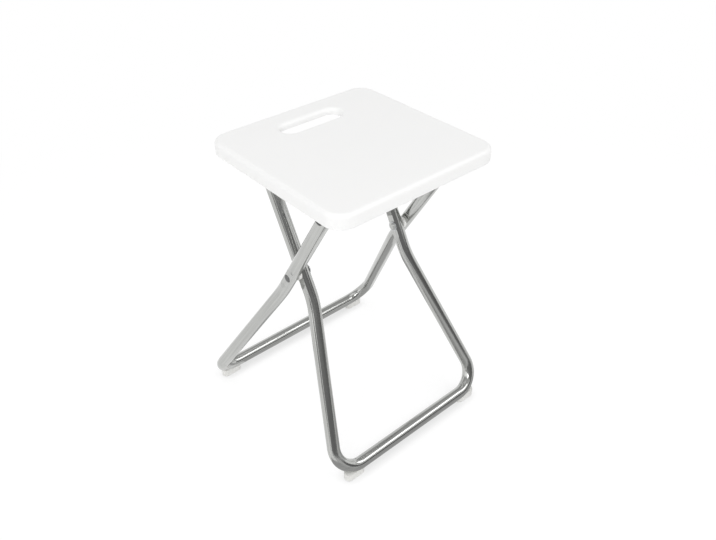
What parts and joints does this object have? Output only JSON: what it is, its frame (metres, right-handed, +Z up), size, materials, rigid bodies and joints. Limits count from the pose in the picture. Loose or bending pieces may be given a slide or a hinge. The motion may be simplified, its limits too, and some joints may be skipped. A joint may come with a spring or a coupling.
{
  "type": "folding stool",
  "caption": "Folding stool: a square moulded seat with a handle slot on crossing bent-tube frames riveted at the sides, which fold flat as the seat flips up.",
  "frame": {"origin": "on the floor under the middle of the unfolded stool, midway between the two floor rails", "axes": "+X along the pivot axis, +Y towards the side with the handle slot, +Z up"},
  "size_m": [0.3368, 0.3196, 0.45],
  "materials": {
    "seat_plastic": "satin",
    "white_nylon": "satin",
    "chromed_tube": "polished",
    "zinc_steel": "satin",
    "glide_plastic": "translucent satin"
  },
  "bodies": {
    "outer_frame": {"outer_tube": "chromed_tube", "hinge_rod": "zinc_steel", "hinge_rod_cap_left": "white_nylon", "hinge_rod_cap_right": "white_nylon", "outer_plug_left": "white_nylon", "outer_plug_right": "white_nylon", "pivot_rivet_left": "zinc_steel", "pivot_rivet_right": "zinc_steel", "pivot_spacer_left": "white_nylon", "pivot_spacer_right": "white_nylon", "outer_foot_left": "glide_plastic", "outer_foot_right": "glide_plastic"},
    "inner_frame": {"inner_tube": "chromed_tube", "inner_cap_left": "white_nylon", "inner_cap_right": "white_nylon", "pivot_washer_left": "zinc_steel", "pivot_washer_right": "zinc_steel", "inner_foot_left": "glide_plastic", "inner_foot_right": "glide_plastic"},
    "seat": {"seat_shell": "seat_plastic", "hinge_bracket_left": "white_nylon", "hinge_bracket_right": "white_nylon", "hinge_bracket_screws": "zinc_steel", "catch_left": "white_nylon", "catch_right": "white_nylon", "catch_screws": "zinc_steel"}
  },
  "joints": [
    {"name": "frame_fold", "type": "hinge", "parent": "outer_frame", "child": "inner_frame", "pos_m": [0, -0.00889, 0.281], "axis": [1, 0, 0], "range_deg": [0, 53.5]},
    {"name": "seat_flip", "type": "hinge", "parent": "outer_frame", "child": "seat", "pos_m": [0, -0.0915, 0.418], "axis": [1, 0, 0], "range_deg": [0, 120]}
  ],
  "couplings": [
    {"joint": "seat_flip", "follows": "frame_fold", "ratio": 2.24}
  ]
}
